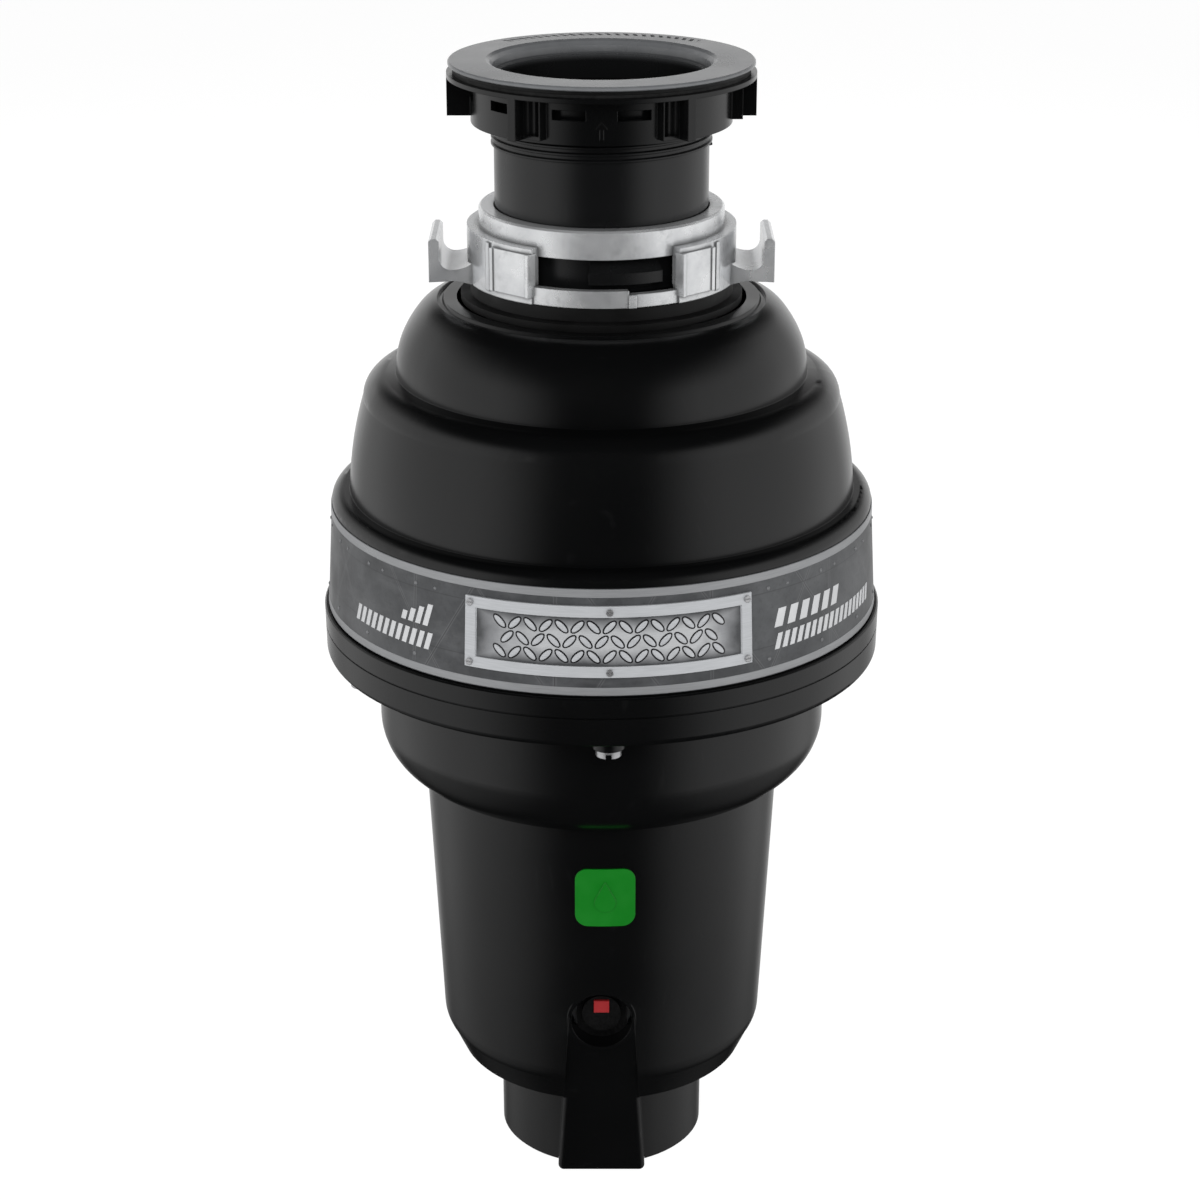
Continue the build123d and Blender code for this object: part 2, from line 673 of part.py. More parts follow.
def terminal_screws():
    screws = []
    for x in (-31, 31):
        head = disc(3.7, 0.2, 1.5, x, 10) - Pos(x, 10, 0.2) * Box(5, 0.9, 1.0)
        screws.append(head + disc(1.5, 1.4, 11, x, 10))
    return Compound(children=screws)


# ---- Grind chamber ----
def hopper():
    body = turned([
        (38.0, 366.0),
        (45.5, 366.0),
        (45.5, 363.0),
        (40.8, 363.0),
        (40.8, 351.5),
        (71.5, 327.0),
        (CHAMBER_OUT_R, 312.0),
        (CHAMBER_OUT_R, 250.3),
        (JOINT_FLANGE_R, 250.3),
        (JOINT_FLANGE_R, 246.3),
        (CHAMBER_R, 246.3),
        (CHAMBER_R, 311.0),
        (69.3, 325.0),
        (38.0, 350.0),
    ])
    nipple = rod_y(INLET_R, INLET_COLLAR_Y - 1, INLET_FACE_Y, z=INLET_Z)
    collar = rod_y(INLET_R + 0.6, CHAMBER_R + 0.5, INLET_COLLAR_Y, z=INLET_Z)
    boss = rod_y(INLET_R + 3.0, CHAMBER_R + 0.5, 88.0, z=INLET_Z)
    body = together([body, nipple, collar, boss]) - rod_y(INLET_BORE_R, 70, INLET_FACE_Y + 1, z=INLET_Z)
    for azimuth in CHAMBER_BOLT_ANGLES:
        body -= disc(2.8, 240, 255, *polar(CHAMBER_BOLT_R, azimuth))
    return body


def inlet_knockout():
    return rod_y(INLET_BORE_R, 84.0, 86.0, z=INLET_Z) - rod_y(2.0, 85.0, 87.0, z=INLET_Z)


def chamber_gasket():
    gasket = ring(CHAMBER_R + 0.4, JOINT_FLANGE_R, 245.0, 246.3)
    for azimuth in CHAMBER_BOLT_ANGLES:
        gasket -= disc(2.8, 240, 255, *polar(CHAMBER_BOLT_R, azimuth))
    return gasket


def chamber_bolts():
    bolts = []
    for azimuth in CHAMBER_BOLT_ANGLES:
        x, y = polar(CHAMBER_BOLT_R, azimuth)
        head = Pos(x, y, 250.3) * extrude(RegularPolygon(4.4, 6), 3.5)
        nut = Pos(x, y, 236.2) * extrude(RegularPolygon(4.4, 6), 3.8)
        bolts.append(together([head, disc(2.5, 234.5, 252, x, y), nut]))
    return Compound(children=bolts)


def drain_chamber():
    """Cast lower chamber; it is also the motor's upper end frame."""
    body = turned([
        (9.0, 178.0),
        (20.0, 178.0),
        (22.0, MOTOR_TOP),
        (CHAMBER_OUT_R, MOTOR_TOP),
        (CHAMBER_OUT_R, 240.0),
        (JOINT_FLANGE_R, 240.0),
        (JOINT_FLANGE_R, 245.0),
        (CHAMBER_R, 245.0),
        (CHAMBER_R, 236.0),
        (79.0, 236.0),
        (79.0, 187.6),
        (58.0, 188.0),
        (22.0, 190.5),
        (18.0, 219.0),
        (9.0, 219.0),
    ])
    tube = rod_y(OUTLET_TUBE_R, 76, OUTLET_FACE_Y - 4, z=OUTLET_Z)
    tube -= disc(CHAMBER_R - 1, 150, 240)
    ear_face = SlotCenterToCenter(2 * OUTLET_BOLT_X, 18.0)
    plate = Pos(0, OUTLET_FACE_Y, OUTLET_Z) * Rot(90, 0, 0) * extrude(ear_face, 5.0)
    plate += rod_y(OUTLET_TUBE_R + 3.5, OUTLET_FACE_Y - 5, OUTLET_FACE_Y, z=OUTLET_Z)
    body = together([body, tube, plate]) - rod_y(OUTLET_R, 60, OUTLET_FACE_Y + 1, z=OUTLET_Z)
    for x in (-OUTLET_BOLT_X, OUTLET_BOLT_X):
        body -= rod_y(OUTLET_BOLT_HOLE_R, OUTLET_FACE_Y - 6, OUTLET_FACE_Y + 1, x, OUTLET_Z)
    for azimuth in CHAMBER_BOLT_ANGLES:
        body -= disc(2.8, 235, 250, *polar(CHAMBER_BOLT_R, azimuth))
    body -= disc(16.0, 170, 199.0) + disc(14.0, 211.0, 225)
    for x in (-TIE_BOLT_X, TIE_BOLT_X):
        body -= disc(2.0, 180, 187.5, x, 0)
    return body


def shredder_ring():
    """Stationary grinding ring; its grooves let ground waste fall past the plate."""
    body = ring(SHREDDER_IN_R, SHREDDER_OUT_R, 236.3, 262.0)
    for index in range(20):
        groove = front(block(77.0, 79.6, -2.2, 2.2, 235, 256), 18 * index)
        body -= groove
    return body


# ---- Rotor ----
def grind_plate():
    plate = ring(SHAFT_R, PLATE_R, PLATE_Z, PLATE_Z + 3.2)
    plate += ring(SHAFT_R, 15.0, 231.0, PLATE_Z + 0.2)
    for index in range(12):
        plate -= disc(3.0, 235, 245, *polar(66.0, 30 * index + 15))
        plate -= disc(2.4, 235, 245, *polar(32.0, 30 * index))
    for x in (-PIN_X, PIN_X):
        plate -= disc(PIN_R, 235, 245, x, 0)
    return plate


def impeller_pins():
    pins = []
    for x in (-PIN_X, PIN_X):
        parts = [disc(PIN_R, 238.5, 258.0, x, 0), disc(6.2, 257.2, 259.5, x, 0), disc(5.5, 237.6, PLATE_Z, x, 0)]
        pins.append(together(parts))
    return Compound(children=pins)


def swivel_impeller(side):
    """A heavy lug that swings on its pin and throws waste at the shredder ring."""
    outline = [(-8.5, -7.5), (14.0, -9.0), (24.5, -9.0), (26.0, 0), (24.5, 9.0), (14.0, 9.0), (-8.5, 7.5)]
    lug = Pos(0, 0, 243.6) * extrude(make_face(Polyline(*outline, close=True)), 8.0)
    lug += disc(9.0, 243.6, 256.8) + Pos(20.5, 0, 251.0) * Box(8.5, 15, 9.0)
    lug -= disc(PIN_R + RUN_GAP, 240, 260)
    lug = Pos(PIN_X, 0, 0) * lug
    return lug if side > 0 else Rot(0, 0, 180) * lug


def plate_nut():
    nut = Pos(0, 0, PLATE_Z + 3.2) * extrude(RegularPolygon(13.5, 6), 8.5)
    return nut - disc(SHAFT_R, 235, 260)


def shaft():
    parts = [disc(SHAFT_R, 56.5, 254.0), disc(SHAFT_LOW_R, 38.5, 57.0)]
    return together(parts)


def slinger():
    return turned([(SHAFT_R, 222.5), (13, 222.5), (22, 221.0), (22, 222.5), (13, 225.5), (SHAFT_R, 225.5)])


def shaft_seal():
    return turned([
        (SHAFT_R + RUN_GAP, 213.0),
        (SHAFT_R + 1.5, 211.0),
        (13.98, 211.0),
        (13.98, 218.0),
        (12.4, 218.0),
        (12.4, 213.2),
    ])


def upper_bearing():
    return ring(SHAFT_R + RUN_GAP, 15.98, 182.5, 198.9)


# ---- Motor ----
def motor_can():
    return ring(MOTOR_R - MOTOR_WALL, MOTOR_R, MOTOR_BOTTOM, MOTOR_TOP)


def magnets():
    outline = [(MAGNET_IN_R, 86), (49.95, 86), (49.95, 170), (MAGNET_IN_R, 170)]
    return Compound(children=[sector(outline, -60 + turn, 60 + turn) for turn in (0, 180)])


def slot_bar(grow):
    """The room that one winding takes in the core; grow opens it for the core's slot."""
    return block(21.0 - grow, 38.0 + grow, -1.9 - grow, 1.9 + grow, CORE_BOTTOM - 3, CORE_TOP + 3)


def armature_core():
    core = ring(SHAFT_R, CORE_R, CORE_BOTTOM, CORE_TOP)
    for index in range(CORE_SLOTS):
        turn = 360 / CORE_SLOTS * index
        slot = slot_bar(0.1) + block(37, 43, -1.0, 1.0, CORE_BOTTOM - 3, CORE_TOP + 3)
        core -= Rot(0, 0, turn) * slot
    return core


def end_turns(bottom, top):
    return turned([
        (15.0, bottom),
        (34.0, bottom),
        (38.5, bottom + 3),
        (38.5, top - 3),
        (34.0, top),
        (15.0, top),
        (12.0, top - 3),
        (12.0, bottom + 3),
    ])


def windings():
    parts = [end_turns(CORE_TOP + 0.2, CORE_TOP + 11), end_turns(CORE_BOTTOM - 11, CORE_BOTTOM - 0.2)]
    parts += [Rot(0, 0, 360 / CORE_SLOTS * index) * slot_bar(0) for index in range(CORE_SLOTS)]
    return together(parts)


def commutator():
    body = ring(SHAFT_R, COMMUTATOR_R, 64.5, 79.0)
    for index in range(CORE_SLOTS):
        body -= Rot(0, 0, 360 / CORE_SLOTS * index) * block(14.8, 17, -0.3, 0.3, 60, 85)
    return body


def brush_card():
    card = ring(20.0, 49.8, MOTOR_BOTTOM + 0.2, MOTOR_BOTTOM + 2.2)
    for side in (-1, 1):
        x0, x1 = sorted((side * 18.5, side * 44.0))
        card += block(x0, x1, -6.5, 6.5, MOTOR_BOTTOM + 0.4, BRUSH_Z + 7)
        x0, x1 = sorted((side * 10, side * 42.0))
        card -= block(x0, x1, -4.05, 4.05, BRUSH_Z - 5.05, BRUSH_Z + 5.05)
    for x in (-TIE_BOLT_X, TIE_BOLT_X):
        card -= disc(2.3, 55, 70, x, 0)
    return card


def brush(side):
    x0, x1 = sorted((side * 15.0, side * 30.0))
    body = block(x0, x1, -3.95, 3.95, BRUSH_Z - 4.95, BRUSH_Z + 4.95)
    return body - disc(COMMUTATOR_R + 0.05, 60, 85)


def brush_spring(side):
    path = Helix(2.2, 11.0, 2.6, center=(0, 0, 0))
    wire = sweep(Plane(origin=path @ 0, z_dir=path % 0) * Circle(0.4), path=path, is_frenet=True)
    coil = Pos(30.5, 0, BRUSH_Z) * Rot(0, 90, 0) * wire
    return coil if side > 0 else Rot(0, 0, 180) * coil


def end_bell():
    bell = turned([
        (SHAFT_LOW_R + 1, 41.0),
        (14.0, 41.0),
        (16.0, 56.0),
        (MOTOR_R, 56.0),
        (MOTOR_R, MOTOR_BOTTOM),
        (SHAFT_R + 1.5, MOTOR_BOTTOM),
        (SHAFT_R + 1.5, 55.0),
        (SHAFT_LOW_R + 1, 55.0),
    ])
    bell -= disc(11.0, 43.0, 55.5)
    for azimuth in (45, 135, 225, 315):
        bell -= front(block(22, 42, -6, 6, 50, 65), azimuth)
    for x in (-TIE_BOLT_X, TIE_BOLT_X):
        bell -= disc(2.3, 50, 65, x, 0)
    return bell


def lower_bearing():
    return ring(SHAFT_LOW_R + RUN_GAP, 10.98, 43.1, 55.0)


def tie_bolts():
    bolts = []
    for x in (-TIE_BOLT_X, TIE_BOLT_X):
        head = Pos(x, 0, 52.5) * extrude(RegularPolygon(4.0, 6), 3.5)
        bolts.append(head + disc(1.95, 55, 187.4, x, 0))
    return Compound(children=bolts)


# ---- Electrical pieces ----
def overload_protector():
    box = block(-9.8, 9.8, RESET_WELL_Y + 0.2, -52.6, RESET_Z - 12, RESET_Z + 12)
    box += rod_y(7.75, RESET_BOSS_Y, RESET_WELL_Y + 1, z=RESET_Z)
    return box - block(-3.2, 3.2, RESET_BOSS_Y - 1, -54, BUTTON_Z - 2.7, BUTTON_Z + 2.7)


def reset_button():
    return block(-3.05, 3.05, RESET_BOSS_Y - 1.1, -55.0, BUTTON_Z - 2.55, BUTTON_Z + 2.55)


def rectifier():
    body = block(-28, -6, -26, -4, 2.5, 9.5)
    legs = [block(x, x + 1.0, -12, -11, 9.4, 14) for x in (-24, -19, -14, -9)]
    return together([body] + legs)


def terminal_block():
    body = block(4, 26, -26, -12, 2.5, 13.5)
    for x in (8, 14.5, 21):
        body -= disc(2.0, 9.5, 15, x, -19)
    return body


def ground_screw():
    x, y = -20.0, 20.0
    head = Pos(x, y, 2.5) * extrude(RegularPolygon(4.0, 6), 2.8)
    return head - Pos(x, y, 5.4) * Box(6, 1, 1.4)


def lead(points, bends):
    path = FilletPolyline(*points, radius=bends)
    start = Plane(origin=path @ 0, z_dir=path % 0)
    return sweep(start * Circle(1.1), path=path)


def motor_leads():
    up_to_protector = lead([(8, -19, 10.5), (8, -19, 49.5), (8, -55, 49.5), (8, -55, 70)], [8, 8])
    up_to_card = lead([(21, -19, 10.5), (21, -19, 30), (23, -22, 48), (23, -22, MOTOR_BOTTOM + 0.1)], [8, 6])
    return Compound(children=[up_to_protector, up_to_card])


# ---- Seals and liners ----
def upper_liner():
    liner = turned([(84.4, 252.5), (92.0, 252.5), (92.0, 300), (88.6, 309), (84.4, 309)])
    liner -= rod_y(INLET_R + 3.4, 80, 100, z=INLET_Z)
    for azimuth in CHAMBER_BOLT_ANGLES:
        liner -= disc(5.0, 245, 255, *polar(CHAMBER_BOLT_R, azimuth))
    return liner


def lower_liner():
    return ring(MOTOR_R + 0.4, 63.0, 102, 160)


def main():
    black_parts = {
        "sink_flange": sink_flange(),
        "mounting_nut": mounting_nut(),
        "upper_shell": upper_shell(),
        "trim_ring": trim_ring(),
        "lower_cover": lower_cover(),
        "terminal_cover": terminal_cover(),
    }
    rubber_parts = {
        "sink_gasket": ring(43.6, 55.6, 446.9, GASKET_TOP),
        "slip_washer": ring(42.2, 55.4, NUT_TOP + 0.05, 446.85),
        "splash_guard": splash_guard(),
        "cushion_mount": cushion_mount(),
        "chamber_gasket": chamber_gasket(),
        "shaft_seal": shaft_seal(),
        "slinger": slinger(),
    }
    zinc_parts = {"mounting_ring": mounting_ring(), "drain_chamber": drain_chamber(), "end_bell": end_bell()}
    steel_parts = {
        "nameplate": nameplate(),
        "nameplate_screws": nameplate_screws(nameplate()),
        "trim_screws": trim_screws(),
        "terminal_screws": terminal_screws(),
        "chamber_bolts": chamber_bolts(),
        "shredder_ring": shredder_ring(),
        "grind_plate": grind_plate(),
        "impeller_pins": impeller_pins(),
        "swivel_impeller_right": swivel_impeller(1),
        "swivel_impeller_left": swivel_impeller(-1),
        "plate_nut": plate_nut(),
        "shaft": shaft(),
        "motor_can": motor_can(),
        "armature_core": armature_core(),
        "tie_bolts": tie_bolts(),
        "brush_spring_right": brush_spring(1),
        "brush_spring_left": brush_spring(-1),
        "lower_bearing": lower_bearing(),
        "upper_bearing": upper_bearing(),
    }
    copper_parts = {"windings": windings(), "commutator": commutator()}
    grey_parts = {
        "hopper": hopper(),
        "inlet_knockout": inlet_knockout(),
        "label_band": label_band(),
        "magnets": magnets(),
        "brush_card": brush_card(),
        "brush_right": brush(1),
        "brush_left": brush(-1),
        "overload_protector": overload_protector(),
        "rectifier": rectifier(),
        "terminal_block": terminal_block(),
    }
    foam_parts = {"upper_liner": upper_liner(), "lower_liner": lower_liner()}
    bright_parts = {
        "green_badge": (green_badge(), (0.0, 0.55, 0.12)),
        "ground_screw": (ground_screw(), (0.1, 0.5, 0.2)),
        "reset_button": (reset_button(), (0.75, 0.08, 0.08)),
        "motor_leads": (motor_leads(), (0.8, 0.8, 0.78)),
    }
    groups = (
        (black_parts, BLACK),
        (rubber_parts, RUBBER),
        (zinc_parts, ZINC),
        (steel_parts, STEEL),
        (copper_parts, COPPER),
        (grey_parts, GREY),
        (foam_parts, FOAM),
    )
    for parts, colour in groups:
        for node, part in parts.items():
            save(node, part, colour)
    for node, (part, colour) in bright_parts.items():
        save(node, part, colour)


main()
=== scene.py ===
import json
import math

import bmesh
import bpy
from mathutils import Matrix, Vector


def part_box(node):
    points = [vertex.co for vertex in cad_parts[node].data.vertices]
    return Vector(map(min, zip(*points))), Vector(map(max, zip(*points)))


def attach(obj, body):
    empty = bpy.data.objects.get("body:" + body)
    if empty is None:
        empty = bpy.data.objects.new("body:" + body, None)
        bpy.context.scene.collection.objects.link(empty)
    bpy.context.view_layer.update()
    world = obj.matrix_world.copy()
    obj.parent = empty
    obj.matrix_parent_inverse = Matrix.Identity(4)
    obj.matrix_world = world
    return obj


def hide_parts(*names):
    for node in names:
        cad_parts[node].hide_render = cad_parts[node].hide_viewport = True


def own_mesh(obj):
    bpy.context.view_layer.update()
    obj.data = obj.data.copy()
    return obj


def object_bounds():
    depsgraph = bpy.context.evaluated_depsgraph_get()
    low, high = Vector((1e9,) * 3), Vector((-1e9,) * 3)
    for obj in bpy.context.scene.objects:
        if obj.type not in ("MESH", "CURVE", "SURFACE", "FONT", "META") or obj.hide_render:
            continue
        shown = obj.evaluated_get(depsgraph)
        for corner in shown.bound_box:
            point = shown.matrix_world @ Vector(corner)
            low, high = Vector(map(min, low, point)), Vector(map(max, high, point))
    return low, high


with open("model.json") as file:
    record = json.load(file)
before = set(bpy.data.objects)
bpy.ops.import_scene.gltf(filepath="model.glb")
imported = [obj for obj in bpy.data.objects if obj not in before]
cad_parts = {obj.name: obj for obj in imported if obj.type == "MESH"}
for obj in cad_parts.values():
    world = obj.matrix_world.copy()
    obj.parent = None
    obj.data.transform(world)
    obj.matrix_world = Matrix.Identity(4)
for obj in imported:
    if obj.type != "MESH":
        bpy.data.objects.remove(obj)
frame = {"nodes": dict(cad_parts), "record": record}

# Looks for the kitchen garbage disposal. Metres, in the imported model's own frame:
# Z is the rotor's axis, the origin is the middle of the base, -Y is the front.

CAD_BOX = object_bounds()
MM = 0.001
NODES = frame["nodes"]
SCENE = bpy.context.scene

# The row of dashes pressed into the sink flange's rim, on its far side.
RIM_TOP = CAD_BOX[1].z
DASH_ROW_R = 51.5 * MM
DASH_ROW_HALF_WIDTH = 1.7 * MM
DASH_HALF_PITCH = 0.034         # radians
DASH_HALF_LENGTH = 0.014        # radians
DASH_ROW_HALF_ANGLE = 0.78      # radians
DASH_SLANT = 9.0                # radians per metre outward

# The printed label's seams: a line is (lean, half pitch, start along the band).
LABEL_R = 107 * MM
LABEL_MIDDLE = 259.5 * MM
LEVEL_SEAMS = (250.5 * MM, 271.5 * MM)
UPRIGHT_SEAMS = ((0.0, 0.029, 1.003), (0.75, 0.021, 1.0), (-0.6, 0.034, 1.011))

# The nameplate's field is painted from a highlight in its middle to shade at these distances.
FIELD_AZIMUTH = 0.027           # radians
FIELD_HALF_ANGLE = 0.468        # radians
FIELD_MIDDLE = 260 * MM
FIELD_HALF_HEIGHT = 9.3 * MM


# ---------------------------------------------------------------- node helpers
class Nodes:
    """A node tree being built: makes nodes and wires them together."""

    def __init__(self, tree, coordinates):
        self.tree = tree
        self.tree.nodes.clear()
        self.place = self.tree.nodes.new("ShaderNodeTexCoord").outputs[coordinates]

    def wire(self, value, socket):
        if isinstance(value, bpy.types.NodeSocket):
            self.tree.links.new(value, socket)
        elif value is not None:
            socket.default_value = value

    def math(self, operation, first, second=0.0):
        node = self.tree.nodes.new("ShaderNodeMath")
        node.operation = operation
        self.wire(first, node.inputs[0])
        self.wire(second, node.inputs[1])
        return node.outputs[0]

    def stretched(self, x, y, z, turn=(0, 0, 0)):
        """The coordinates multiplied along each axis, then turned."""
        node = self.tree.nodes.new("ShaderNodeMapping")
        self.wire(self.place, node.inputs["Vector"])
        node.inputs["Scale"].default_value = (x, y, z)
        node.inputs["Rotation"].default_value = turn
        return node.outputs[0]

    def noise(self, scale, detail=3.0, roughness=0.55, place=None):
        node = self.tree.nodes.new("ShaderNodeTexNoise")
        self.wire(place or self.place, node.inputs["Vector"])
        node.inputs["Scale"].default_value = scale
        node.inputs["Detail"].default_value = detail
        node.inputs["Roughness"].default_value = roughness
        return node.outputs["Fac"]

    def cells(self, scale):
        node = self.tree.nodes.new("ShaderNodeTexVoronoi")
        self.wire(self.place, node.inputs["Vector"])
        node.inputs["Scale"].default_value = scale
        return node.outputs["Distance"]

    def ramp(self, value, *stops):
        """Map a value to colours; each stop is (position, colour)."""
        node = self.tree.nodes.new("ShaderNodeValToRGB")
        self.wire(value, node.inputs[0])
        elements = node.color_ramp.elements
        while len(elements) < len(stops):
            elements.new(0.5)
        for element, (position, colour) in zip(elements, stops):
            element.position = position
            element.color = (*colour, 1)
        return node.outputs["Color"]

    def range(self, value, low, high, new_low, new_high, curve="LINEAR"):
        """Map low..high to new_low..new_high, and hold the ends."""
        node = self.tree.nodes.new("ShaderNodeMapRange")
        node.interpolation_type = curve
        for given, socket in zip((value, low, high, new_low, new_high), node.inputs):
            self.wire(given, socket)
        return node.outputs[0]

    def mix(self, factor, first, second):
        node = self.tree.nodes.new("ShaderNodeMix")
        node.data_type = "RGBA"
        self.wire(factor, node.inputs[0])
        for value, socket in ((first, node.inputs[6]), (second, node.inputs[7])):
            self.wire((*value, 1) if isinstance(value, tuple) else value, socket)
        return node.outputs[2]

    def bump(self, height, distance, strength=1.0, normal=None):
        node = self.tree.nodes.new("ShaderNodeBump")
        node.inputs["Strength"].default_value = strength
        node.inputs["Distance"].default_value = distance
        self.wire(height, node.inputs["Height"])
        self.wire(normal, node.inputs["Normal"])
        return node.outputs[0]

    def soft_edges(self, radius):
        """A normal that rounds sharp edges by a radius in metres."""
        node = self.tree.nodes.new("ShaderNodeBevel")
        node.samples = 6
        node.inputs["Radius"].default_value = radius
        return node.outputs[0]

    def crease_shade(self, reach, most):
        """A share of painted shade that rises to a most in corners and gaps within a reach; 0 on open
        faces.
        """
        node = self.tree.nodes.new("ShaderNodeAmbientOcclusion")
        node.samples = 8
        node.inputs["Distance"].default_value = reach
        return self.range(node.outputs["AO"], 0.4, 0.9, most, 0.0)

    def position(self):
        """The x, y and z of the coordinates."""
        node = self.tree.nodes.new("ShaderNodeSeparateXYZ")
        self.wire(self.place, node.inputs[0])
        return node.outputs

    def stripe(self, distance, half_width, fade):
        """1 where a distance is within a half width either way of 0, fading to 0 beyond it."""
        return self.range(self.math("ABSOLUTE", distance), half_width, half_width + fade, 1.0, 0.0)


class Shader(Nodes):
    """A material with one surface shader."""

    def __init__(self, name):
        self.name = name
        self.material = bpy.data.materials.new(name)
        self.material.use_nodes = True
        super().__init__(self.material.node_tree, "Object")
        self.surface = self.tree.nodes.new("ShaderNodeBsdfPrincipled")
        output = self.tree.nodes.new("ShaderNodeOutputMaterial")
        self.wire(self.surface.outputs[0], output.inputs["Surface"])

    def set(self, **values):
        """Set or wire the surface shader's inputs; an underscore stands for a space."""
        for name, value in values.items():
            self.wire(value, self.surface.inputs[name.replace("_", " ")])


# ---------------------------------------------------------------- materials
def moulded_plastic(name, dark, light, roughness=(0.17, 0.24), grain=0.012 * MM):
    """Injection-moulded plastic: faint cloudy gloss, fine pebble grain, a few hairlines."""
    shader = Shader(name)
    cloud = shader.noise(18, 4)
    fine = shader.noise(900, 2)
    streak = shader.noise(60, 3, place=shader.stretched(1, 1, 0.12))
    scratch = shader.noise(140, 1, place=shader.stretched(1.0, 9.0, 0.35, (0.3, 0.5, 0.4)))
    worn = shader.range(scratch, 0.7, 0.76, 0.0, 0.025)
    colour = shader.mix(cloud, dark, light)
    colour = shader.mix(worn, colour, (0.05, 0.05, 0.052))
    rough = shader.range(cloud, 0.3, 0.7, *roughness)
    rough = shader.math("ADD", rough, shader.math("MULTIPLY", streak, 0.05))
    normal = shader.bump(fine, grain, 0.6, shader.soft_edges(0.4 * MM))
    shader.set(Base_Color=colour, Roughness=rough, Normal=normal)
    return shader


def flange_plastic(name):
    """Satin black with a painted grey sheen on top, and short dashes pressed into the rim's far side."""
    dark, light = (0.0025, 0.0026, 0.0028), (0.005, 0.0052, 0.0054)
    shader = moulded_plastic(name, dark, light, (0.2, 0.27), 0.02 * MM)
    x, y, z = shader.position()
    squares = shader.math("ADD", shader.math("POWER", x, 2.0), shader.math("POWER", y, 2.0))
    radius = shader.math("SQRT", squares)
    azimuth = shader.math("ARCTAN2", x, y)
    off_row = shader.math("SUBTRACT", radius, DASH_ROW_R)
    slanted = shader.math("ADD", azimuth, shader.math("MULTIPLY", off_row, DASH_SLANT))
    positive = shader.math("ADD", slanted, 6.0)
    wave = shader.math("PINGPONG", positive, DASH_HALF_PITCH)
    dash = shader.range(wave, DASH_HALF_LENGTH, DASH_HALF_LENGTH + 0.003, 1.0, 0.0)
    across = shader.stripe(off_row, DASH_ROW_HALF_WIDTH, 0.3 * MM)
    around = shader.stripe(azimuth, DASH_ROW_HALF_ANGLE, 0.02)
    on_rim = shader.range(z, RIM_TOP - 0.5 * MM, RIM_TOP - 0.3 * MM, 0.0, 1.0)
    mark = shader.math("MULTIPLY", dash, across)
    mark = shader.math("MULTIPLY", mark, shader.math("MULTIPLY", around, on_rim))
    inputs = shader.surface.inputs
    colour = inputs["Base Color"].links[0].from_socket
    rough = inputs["Roughness"].links[0].from_socket
    normal = inputs["Normal"].links[0].from_socket
    # Painted sheen: the top face is lightened to a mottled grey where it mirrors the room.
    painted_sheen = shader.mix(shader.noise(240, 4), (0.1, 0.103, 0.108), (0.135, 0.139, 0.144))
    top = shader.range(z, RIM_TOP - 8 * MM, RIM_TOP - 1 * MM, 0.0, 1.0, "SMOOTHSTEP")
    colour = shader.mix(top, colour, painted_sheen)
    # The dashes are painted back to near-black: painted shade in the dents, which the painted sheen
    # leaves out.
    colour = shader.mix(shader.math("MULTIPLY", mark, 0.6), colour, (0.012, 0.012, 0.013))
    shader.set(Base_Color=colour)
    shader.set(Roughness=shader.math("ADD", rough, shader.math("MULTIPLY", mark, 0.4)))
    shader.set(Normal=shader.bump(mark, -0.2 * MM, 0.8, normal))
    return shader


def scaled(colour, share):
    return tuple(share * channel for channel in colour)


def cast_metal(name, dark, light, metallic, roughness, grain=0.1 * MM):
    """Die-cast metal: mottled skin, shallow pits, painted shade in corners and eased edges."""
    shader = Shader(name)
    mottle = shader.noise(55, 5)
    stain = shader.noise(160, 4, 0.65)
    pits = shader.cells(420)
    fine = shader.noise(700, 3)
    colour = shader.mix(shader.range(mottle, 0.35, 0.65, 0, 1), dark, light)
    colour = shader.mix(shader.range(stain, 0.56, 0.72, 0, 0.35), colour, scaled(dark, 0.55))
    # Painted shade: the colour darkens in corners and gaps, over a wide reach and then a tight one.
    colour = shader.mix(shader.crease_shade(14 * MM, 0.42), colour, scaled(dark, 0.3))
    colour = shader.mix(shader.crease_shade(3 * MM, 0.8), colour, scaled(dark, 0.06))
    rough = shader.range(mottle, 0.3, 0.7, *roughness)
    height = shader.math("ADD", shader.math("MULTIPLY", pits, 0.6), shader.math("MULTIPLY", fine, 0.5))
    normal = shader.bump(height, grain, 0.45, shader.soft_edges(0.5 * MM))
    shader.set(Base_Color=colour, Metallic=metallic, Roughness=rough, Normal=normal)
    return shader


def brushed_metal(name, dark, light, metallic=0.95, roughness=(0.22, 0.4), stretch=(1, 1, 30)):
    """Rolled or brushed metal with fine parallel lines."""
    shader = Shader(name)
    lines = shader.noise(120, 4, place=shader.stretched(*stretch))
    cloud = shader.noise(30, 3)
    colour = shader.mix(lines, dark, light)
    rough = shader.range(cloud, 0.3, 0.7, *roughness)
    normal = shader.bump(lines, 0.03 * MM, 0.5, shader.soft_edges(0.3 * MM))
    shader.set(Base_Color=colour, Metallic=metallic, Roughness=rough, Normal=normal)
    return shader


def soft_rubber(name, dark, light):
    """Moulded rubber: dull, slightly dusty, with a fine leathery grain."""
    shader = Shader(name)
    dust = shader.noise(70, 5)
    grain = shader.cells(1400)
    colour = shader.mix(shader.range(dust, 0.4, 0.75, 0, 1), dark, light)
    normal = shader.bump(grain, 0.05 * MM, 0.5, shader.soft_edges(0.4 * MM))
    shader.set(Base_Color=colour, Roughness=shader.range(dust, 0.3, 0.7, 0.5, 0.75), Normal=normal)
    return shader


